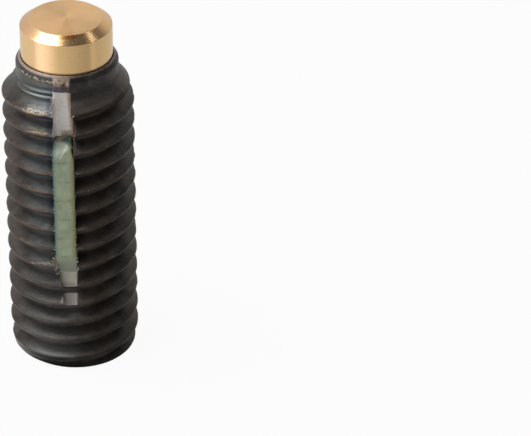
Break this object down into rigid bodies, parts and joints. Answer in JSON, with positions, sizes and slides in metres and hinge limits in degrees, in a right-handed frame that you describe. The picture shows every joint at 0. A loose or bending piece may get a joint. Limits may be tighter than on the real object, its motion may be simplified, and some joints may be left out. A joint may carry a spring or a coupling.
{
  "type": "pressure screw",
  "caption": "Headless pressure screw: blackened threaded body with hexagon socket, brass pressing tip in a crimped rim, and a plastic locking strip set in a groove.",
  "frame": {"origin": "centre of the drive end's flat face, which the screw stands on", "axes": "+Z along the screw towards the pressing tip; the locking strip and its groove face -Y"},
  "size_m": [0.006, 0.0061, 0.017],
  "materials": {
    "blackened_steel": "black oxide, satin, worn brown along the crests, bright where the groove is milled",
    "tip_brass": "fine turned",
    "strip_plastic": "waxy, slightly translucent"
  },
  "bodies": {
    "root": {"threaded_body": "blackened_steel", "pressure_tip": "tip_brass", "locking_strip": "strip_plastic"}
  },
  "joints": []
}
